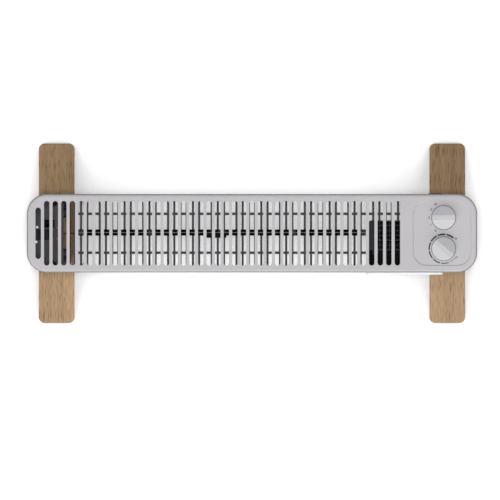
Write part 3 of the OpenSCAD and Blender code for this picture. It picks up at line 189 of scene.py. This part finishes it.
def moulded(name, colour, rough, grain=1400, depth=0.04 * MM, change=0.03, specular=0.45,
            shade_painted=False):
    """Moulded plastic: fine spark grain, slow change of tone and sheen, and painted shade low on the
    plate where asked.
    """
    made = Finish(name, specular=specular)
    fine = made.noise(grain)
    tone = made.clouded(made.noise(14, detail=3), colour, change)
    speck = made.ramp(fine, [(0.35, shaded(WHITE[:3], 1 - change)), (0.6, WHITE)])
    whole = made.product(tone, speck)
    # Painted shade: darker between two heights below the top of the plate
    if shade_painted:
        whole = made.product(whole, painted_edge_shade(made))
    sheen = made.spread(made.noise(60, detail=4), rough - 0.05, rough + 0.07)
    return made.finish(whole, sheen, fine, depth)


def painted(name, colour, rough, change=0.025):
    """Powder coat on sheet steel: a low orange peel."""
    made = Finish(name, coat=0.15, coat_rough=0.25)
    peel = made.noise(420)
    tone = made.clouded(made.noise(9), colour, change)
    sheen = made.spread(made.noise(180, detail=3), rough - 0.05, rough + 0.06)
    return made.finish(tone, sheen, peel, depth=0.06 * MM)


def steel(name, colour, rough, along=(1, 1, 1), change=0.12):
    """Rolled, plated or turned metal, with fine lines where along is below 1."""
    made = Finish(name, metallic=1.0)
    lines = made.noise(900, detail=3, stretch=along)
    tone = made.clouded(made.noise(38, detail=4), colour, change)
    streak = made.ramp(lines, [(NOISE_LOW, (0.86, 0.86, 0.86, 1)), (NOISE_HIGH, WHITE)])
    sheen = made.spread(lines, rough - 0.07, rough + 0.1)
    return made.finish(made.product(tone, streak), sheen, lines, depth=0.03 * MM)


LEG_SLOPE = math.radians(22)
# Moves the pattern of the front boards, so that they don't mirror the rear ones
FRONT_SHIFT = 0.31
# Painted shade in the groove between two boards: how far from the plane between them it starts to fade,
# and where it has gone
SEAM_SHADE_EDGE = (0.6 * MM, 1.2 * MM)
SEAM_SHADE_TONE = 0.3


def wood(name, light, dark, pore):
    """Lacquered oak with its grain down the slope of each board: bands, lines, pores and flecks, and
    painted shade in the groove between the boards.
    """
    made = Finish(name, coat=0.08, coat_rough=0.4, specular=0.28)
    place = made.node("SeparateXYZ", Vector=made.place).outputs
    board = made.maths("MULTIPLY", made.maths("LESS_THAN", place["Y"], 0.0), FRONT_SHIFT)
    out = made.maths("ABSOLUTE", place["Y"])
    folded = made.node("CombineXYZ", X=made.maths("ADD", place["X"], board), Y=out, Z=place["Z"])
    turned = made.node("Mapping", Vector=folded.outputs[0], Rotation=(LEG_SLOPE, 0, 0))
    made.place = turned.outputs[0]

    bands = made.noise(60, detail=3, stretch=(1, 0.05, 0.5), warp=0.5)
    lines = made.noise(420, detail=4, stretch=(1, 0.022, 0.7), warp=0.2)
    pores = made.noise(900, stretch=(1, 0.05, 1))
    flecks = made.noise(560, stretch=(1, 0.12, 1))
    pore_share = [p / l for p, l in zip(pore, light)]
    tone = made.ramp(bands, [(NOISE_LOW, (*dark, 1)), (NOISE_HIGH, (*light, 1))])
    line = made.ramp(lines, [(NOISE_LOW, (0.84, 0.82, 0.79, 1)), (0.62, WHITE)])
    hole = made.ramp(pores, [(NOISE_LOW, (*pore_share, 1)), (0.46, WHITE)])
    fleck = made.ramp(flecks, [(0.35, (0.88, 0.86, 0.84, 1)), (0.65, WHITE)])
    # Painted shade along the groove where two boards meet
    seam_shade = made.remap(out, SEAM_SHADE_EDGE, (SEAM_SHADE_TONE, 1.0))
    whole = made.product(tone, line, hole, fleck, seam_shade)
    sheen = made.spread(lines, 0.46, 0.62)
    relief = made.mix(0.5, line, hole)
    return made.finish(whole, sheen, relief, depth=0.1 * MM, strength=0.7)


shell = linear(193, 191, 194)
FINISHES = {
    # The top plate takes painted shade in its knob wells and round its edge
    "top_shell": moulded("top_shell", shell, 0.46, specular=0.2, shade_painted=True),
    "knob_plastic": moulded(
        "knob_plastic", linear(199, 198, 200), 0.34, grain=2200, depth=0.02 * MM),
    "end_plastic": moulded("end_plastic", shell, 0.5),
    "outlet_plastic": moulded("outlet_plastic", linear(247, 246, 248), 0.5),
    "panel_paint": painted("panel_paint", linear(212, 211, 214), 0.42),
    "grille_plastic": moulded("grille_plastic", linear(120, 119, 121), 0.6, change=0.08),
    "leg_wood": wood(
        "leg_wood", linear(182, 153, 119), linear(161, 132, 99), linear(122, 97, 70)),
    "bracket_paint": painted("bracket_paint", linear(38, 38, 40), 0.4, change=0.08),
    "pad_rubber": moulded(
        "pad_rubber", linear(26, 26, 27), 0.8, grain=900, depth=0.08 * MM, change=0.12,
        specular=0.3),
    "dark_screws": painted("dark_screws", linear(88, 87, 89), 0.4, change=0.08),
    "bright_screws": steel("bright_screws", linear(176, 177, 180), 0.34, along=(1, 1, 0.2)),
    "element_mica": moulded(
        "element_mica", linear(170, 168, 163), 0.7, grain=500, depth=0.12 * MM, change=0.14,
        specular=0.3),
    "heating_ribbon": steel(
        "heating_ribbon", linear(112, 104, 98), 0.5, along=(1, 1, 0.1), change=0.25),
    "plated_steel": steel("plated_steel", linear(164, 166, 170), 0.38, along=(1, 0.06, 1)),
    "channel_steel": steel(
        "channel_steel", linear(46, 46, 48), 0.5, along=(0.04, 1, 1), change=0.25),
    "ceramic": moulded(
        "ceramic", linear(112, 106, 98), 0.62, grain=800, depth=0.06 * MM, change=0.06),
    "black_plastic": moulded("black_plastic", linear(16, 16, 17), 0.5, change=0.1),
    "guard_plastic": moulded("guard_plastic", linear(84, 84, 88), 0.5, change=0.06),
    "impeller_plastic": moulded("impeller_plastic", linear(34, 34, 36), 0.5, change=0.1),
    "turned_steel": steel("turned_steel", linear(186, 187, 190), 0.28, along=(0.05, 1, 1)),
    "switch_plastic": moulded("switch_plastic", linear(58, 58, 61), 0.45, change=0.06),
    "pale_plastic": moulded("pale_plastic", linear(218, 212, 198), 0.45, change=0.05),
    "bearing_bronze": steel(
        "bearing_bronze", linear(168, 122, 78), 0.45, along=(0.3, 1, 1), change=0.2),
    "motor_laminations": steel(
        "motor_laminations", linear(104, 108, 114), 0.42, along=(0.02, 1, 1), change=0.2),
    "coil_wire": moulded(
        "coil_wire", linear(134, 62, 36), 0.35, grain=700, depth=0.12 * MM, change=0.16),
    "bridge_metal": steel("bridge_metal", linear(150, 152, 156), 0.5),
    "wire_insulation": moulded("wire_insulation", linear(58, 50, 46), 0.55, change=0.1),
}

for row in frame["record"]["subparts"]:
    mesh = nodes[row["node"]].data
    mesh.materials.clear()
    mesh.materials.append(FINISHES[row["material_slot"]])


# Soft edges: the CAD meshes stay as they are, under modifiers

# Width of each edge's rounding, in millimetres
SOFT = {
    "top_grille": 0.55,
    "power_knob": 0.45,
    "thermostat_knob": 0.45,
    "left_end_cap": 0.4,
    "right_end_cap": 0.4,
    "front_panel": 0.4,
    "back_panel": 0.4,
    "outlet_grille": 0.5,
    "bottom_grille": 0.4,
    "left_front_leg": 2.0,
    "left_rear_leg": 2.0,
    "right_front_leg": 2.0,
    "right_rear_leg": 2.0,
    "foot_pads": 0.5,
    "left_foot_bracket": 0.4,
    "right_foot_bracket": 0.4,
    "fan_housing": 0.6,
    "fan_guard": 0.2,
    "tilt_switch_case": 0.4,
    "junction_block": 0.4,
    "terminal_block": 0.4,
    "thermal_cutout": 0.4,
    "cable_gland": 0.5,
    "gland_nut": 0.4,
    "casing_screws": 0.25,
    "leg_screws": 0.25,
    "power_switch": 0.4,
    "thermostat": 0.5,
    "motor_coil": 1.2,
}
# Points closer than this are one, faces within this angle are flat, and edges beyond it are sharp
MERGE_GAP = 0.002 * MM
FLAT_ANGLE = math.radians(0.6)
EDGE_ANGLE = math.radians(28)


def soften(thing, width):
    """Joins doubled points and flat triangles, then rounds the sharp edges by width metres."""
    weld = thing.modifiers.new("weld", "WELD")
    weld.merge_threshold = MERGE_GAP
    flat = thing.modifiers.new("flat", "DECIMATE")
    flat.decimate_type = "DISSOLVE"
    flat.angle_limit = FLAT_ANGLE
    bevel = thing.modifiers.new("bevel", "BEVEL")
    bevel.width = width
    bevel.segments = 3
    bevel.limit_method = "ANGLE"
    bevel.angle_limit = EDGE_ANGLE
    bevel.harden_normals = False
    normals = thing.modifiers.new("normals", "WEIGHTED_NORMAL")
    normals.keep_sharp = True
    for polygon in thing.data.polygons:
        polygon.use_smooth = True


for name, width in SOFT.items():
    soften(nodes[name], width * MM)


# Dial marks: thin print on the floor of the recess

INK_HEIGHT = 0.12 * MM


def ink(name, colour):
    """Printing ink: matt, with a fine uneven tone."""
    made = Finish(name, specular=0.3)
    fine = made.noise(1800)
    tone = made.clouded(fine, colour, change=0.1)
    return made.finish(tone, made.spread(fine, 0.5, 0.65), fine, depth=0.01 * MM)


def flat_piece(name, rings, material):
    """Closed outlines in X and Y, in metres, as one thin print on the recess's floor."""
    points, faces = [], []
    for ring in rings:
        first, count = len(points), len(ring)
        points += [(x, y, print_z - INK_HEIGHT / 2) for x, y in ring]
        points += [(x, y, print_z + INK_HEIGHT) for x, y in ring]
        faces.append([first + count + k for k in range(count)])
        faces.append([first + count - 1 - k for k in range(count)])
        for k in range(count):
            after = (k + 1) % count
            faces.append([first + k, first + after, first + count + after, first + count + k])
    mesh = bpy.data.meshes.new(name)
    mesh.from_pydata(points, [], faces)
    mesh.materials.append(material)
    thing = bpy.data.objects.new(name, mesh)
    bpy.context.scene.collection.objects.link(thing)
    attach(thing, "casing")


def around(x, y, radius, turn):
    """The point at radius and at turn radians round x and y."""
    return x + radius * math.cos(turn), y + radius * math.sin(turn)


def arc(centre, radius, thick, start, end, steps=14):
    """A bar along an arc in degrees, as thick at its start and its end as thick says."""
    outer, inner = [], []
    for k in range(steps + 1):
        share = k / steps
        turn = math.radians(start + (end - start) * share)
        half = (thick[0] + (thick[1] - thick[0]) * share) / 2
        outer.append(around(centre.x, centre.y, radius + half, turn))
        inner.append(around(centre.x, centre.y, radius - half, turn))
    return outer + inner[::-1]


def stroke(points, width):
    """A line through points, as one bar a stretch."""
    rings = []
    for (x0, y0), (x1, y1) in zip(points, points[1:]):
        length = math.hypot(x1 - x0, y1 - y0)
        sx, sy = (x1 - x0) / length * width / 2, (y1 - y0) / length * width / 2
        rings.append([(x0 - sx - sy, y0 - sy + sx), (x0 - sx + sy, y0 - sy - sx),
                      (x1 + sx + sy, y1 + sy - sx), (x1 + sx - sy, y1 + sy + sx)])
    return rings


def oval(x, y, half_x, half_y, steps=14):
    """A closed ring of points, whose last is its first again."""
    turns = [2 * math.pi * k / steps for k in range(steps + 1)]
    return [(x + half_x * math.cos(turn), y + half_y * math.sin(turn)) for turn in turns]


# Shapes of the digits, 1 wide and 2 high about their middle
DIGITS = {
    0: [oval(0, 0, 0.55, 1.0)],
    1: [[(-0.35, 0.6), (0.1, 1.0), (0.1, -1.0)]],
    2: [[(-0.5, 0.6), (-0.25, 1.0), (0.3, 1.0), (0.55, 0.55), (0.4, 0.1),
         (-0.55, -1.0), (0.6, -1.0)]],
    3: [[(-0.5, 1.0), (0.5, 1.0), (0.0, 0.2), (0.5, -0.1), (0.5, -0.7),
         (0.1, -1.0), (-0.5, -0.85)]],
}
DIGIT_SIZE = 1.35 * MM
LINE = 0.55 * MM

# Where each mark stands round its knob: degrees from +X, and millimetres from the axis
DIGIT_PLACES = ((0, 237.7, 21.4), (1, 209.4, 20.8), (2, 180, 20.8), (3, 147.5, 21.2))
FAN_PLACE = (120.8, 22.2)
SUN_PLACE = (40, 22.4)
STAR_PLACE = (-32, 21.6)


def at_mark(axis, turn, radius):
    """The middle of a mark, from its place in degrees and millimetres."""
    return around(axis.x, axis.y, radius * MM, math.radians(turn))


# Digits and a small fan, as three curved pairs of dots, round the power knob
rings = []
for digit, turn, radius in DIGIT_PLACES:
    x, y = at_mark(power_axis, turn, radius)
    for line in DIGITS[digit]:
        rings += stroke([(x + px * DIGIT_SIZE, y + py * DIGIT_SIZE) for px, py in line], LINE)
BLADES = 3
BLADE_REACH = 1.5 * DIGIT_SIZE
BLADE_DOT = 0.45 * DIGIT_SIZE
x, y = at_mark(power_axis, *FAN_PLACE)
for blade in range(BLADES):
    turn = math.radians(90 + 360 / BLADES * blade)
    for share in (0.35, 0.75):
        dot_x, dot_y = around(x, y, BLADE_REACH * share, turn + 0.5 * share)
        rings.append(oval(dot_x, dot_y, BLADE_DOT, BLADE_DOT, steps=10)[:-1])
flat_piece("power_marks", rings, ink("mark_ink", linear(84, 82, 86)))

# A scale of tapering bars round the thermostat's knob, in degrees from +X. GROUPS holds the first bar
# of each tone, the bar after its last one and its grey, which is paler towards the scale's end
SEGMENTS, SEGMENT_STEP, SEGMENT_TURN, SCALE_START = 8, 35.3, 31, 48
SCALE_RADIUS = 20.4 * MM
THICK, TAPER = 2.25 * MM, 0.85 * MM
GROUPS = ((0, 2, 34), (2, 4, 38), (4, 6, 48), (6, 7, 92), (7, 8, 150))
for group, (first, last, level) in enumerate(GROUPS):
    rings = []
    for k in range(first, last):
        start = SCALE_START + k * SEGMENT_STEP
        thick = [THICK - TAPER * (k + end) / SEGMENTS for end in (0, 1)]
        rings.append(arc(heat_axis, SCALE_RADIUS, thick, start, start + SEGMENT_TURN))
    tone = linear(level, level - 1, level + 2)
    flat_piece(f"heat_scale_{group}", rings, ink(f"scale_ink_{group}", tone))

# A sun at the hot end of the scale and a star at the cold one
RAYS, SUN_RADIUS, RAY_START, RAY_END = 8, 0.55 * DIGIT_SIZE, 0.95 * DIGIT_SIZE, 1.3 * DIGIT_SIZE
x, y = at_mark(heat_axis, *SUN_PLACE)
rings = stroke(oval(x, y, SUN_RADIUS, SUN_RADIUS, steps=10), LINE)
for k in range(RAYS):
    turn = math.radians(360 / RAYS * k)
    rings += stroke([around(x, y, RAY_START, turn), around(x, y, RAY_END, turn)], LINE * 0.7)
STAR_LINES, STAR_REACH = 3, 1.1 * DIGIT_SIZE
x, y = at_mark(heat_axis, *STAR_PLACE)
for k in range(STAR_LINES):
    turn = math.radians(180 / STAR_LINES * k + 30)
    rings += stroke([around(x, y, -STAR_REACH, turn), around(x, y, STAR_REACH, turn)], LINE * 0.8)
flat_piece("heat_marks", rings, ink("faint_ink", linear(128, 127, 130)))


# Floor, light and camera


def plane(name, half, z):
    """A level square."""
    corners = [(-half, -half, z), (half, -half, z), (half, half, z), (-half, half, z)]
    mesh = bpy.data.meshes.new(name)
    mesh.from_pydata(corners, [], [(0, 1, 2, 3)])
    thing = bpy.data.objects.new(name, mesh)
    bpy.context.scene.collection.objects.link(thing)
    return thing


def seen_share(tree):
    """1 for what the camera sees, straight, mirrored or through glass, and 0 for other light."""
    path = tree.nodes.new("ShaderNodeLightPath")
    total = path.outputs["Is Camera Ray"]
    for name in ("Is Glossy Ray", "Is Transmission Ray"):
        larger = tree.nodes.new("ShaderNodeMath")
        larger.operation = "MAXIMUM"
        tree.links.new(total, larger.inputs[0])
        tree.links.new(path.outputs[name], larger.inputs[1])
        total = larger.outputs[0]
    return total


# Half the floor's width and how far it lies below the pads
FLOOR_HALF, FLOOR_DROP = 40, 0.2 * MM
# Grey of the floor as it lights the heater, and as it is seen
FLOOR_PLAIN, FLOOR_SEEN = 0.55, 0.62
# Painted shadow in the floor's glow: how far round it the heater darkens the floor, the shares of open
# sky between which it does so, and the floor's glow at those two
SHADE_REACH, SHADE_SAMPLES = 0.12, 8
SHADE_EDGE = (0.52, 0.73)
FLOOR_GLOW = (0.25, 0.7)
# The world's strength as a light and as it is seen
WORLD_STRENGTH = (0.18, 1.0)

floor_material = bpy.data.materials.new("floor")
floor_material.use_nodes = True
tree = floor_material.node_tree
tree.nodes.remove(tree.nodes["Principled BSDF"])
plain = tree.nodes.new("ShaderNodeBsdfDiffuse")
plain.inputs["Color"].default_value = (*[FLOOR_PLAIN] * 3, 1)
seen = tree.nodes.new("ShaderNodeBsdfDiffuse")
seen.inputs["Color"].default_value = (*[FLOOR_SEEN] * 3, 1)
glow = tree.nodes.new("ShaderNodeEmission")
# An occlusion measure paints the heater's shadow into the floor's glow
covered = tree.nodes.new("ShaderNodeAmbientOcclusion")
covered.samples = SHADE_SAMPLES
covered.inputs["Distance"].default_value = SHADE_REACH
open_share = tree.nodes.new("ShaderNodeMapRange")
for side, value in zip(("From Min", "From Max", "To Min", "To Max"), SHADE_EDGE + FLOOR_GLOW):
    open_share.inputs[side].default_value = value
tree.links.new(covered.outputs["AO"], open_share.inputs["Value"])
tree.links.new(open_share.outputs[0], glow.inputs["Strength"])
both = tree.nodes.new("ShaderNodeAddShader")
tree.links.new(seen.outputs[0], both.inputs[0])
tree.links.new(glow.outputs[0], both.inputs[1])
choice = tree.nodes.new("ShaderNodeMixShader")
tree.links.new(seen_share(tree), choice.inputs[0])
tree.links.new(plain.outputs[0], choice.inputs[1])
tree.links.new(both.outputs[0], choice.inputs[2])
tree.links.new(choice.outputs[0], tree.nodes["Material Output"].inputs["Surface"])
floor = plane("floor", FLOOR_HALF, -FLOOR_DROP)
floor.data.materials.append(floor_material)

world = bpy.data.worlds.new("studio")
bpy.context.scene.world = world
world.use_nodes = True
tree = world.node_tree
background = tree.nodes["Background"]
background.inputs["Color"].default_value = WHITE
strength = tree.nodes.new("ShaderNodeMapRange")
for side, value in zip(("To Min", "To Max"), WORLD_STRENGTH):
    strength.inputs[side].default_value = value
tree.links.new(seen_share(tree), strength.inputs["Value"])
tree.links.new(strength.outputs[0], background.inputs["Strength"])


def sun(name, towards, power, soft, shine=True):
    """A distant lamp in the direction towards, soft degrees wide, with or without a highlight."""
    data = bpy.data.lights.new(name, "SUN")
    data.energy = power
    data.angle = math.radians(soft)
    lamp = bpy.data.objects.new(name, data)
    bpy.context.scene.collection.objects.link(lamp)
    lamp.rotation_mode = "QUATERNION"
    lamp.rotation_quaternion = Vector(towards).to_track_quat("Z", "Y")
    lamp.visible_glossy = shine


sun("front", towards=(-0.15, -1.0, 1.0), power=1.6, soft=70)
sun("above", towards=(0.0, 0.0, 1.0), power=1.5, soft=3, shine=False)

# Straight down, with no perspective: the width that is seen, the middle of the view, and how far
# above the plate the camera stands
FRAME_WIDTH = 0.7016
CAMERA_X, CAMERA_Y = -2.8 * MM, -23.5 * MM
CAMERA_AWAY = 3
camera_data = bpy.data.cameras.new("camera")
camera_data.type = "ORTHO"
camera_data.ortho_scale = FRAME_WIDTH
camera = bpy.data.objects.new("camera", camera_data)
bpy.context.scene.collection.objects.link(camera)
camera.location = (CAMERA_X, CAMERA_Y, grille_high + CAMERA_AWAY)
bpy.context.scene.camera = camera

bpy.context.scene.view_settings.view_transform = "Standard"
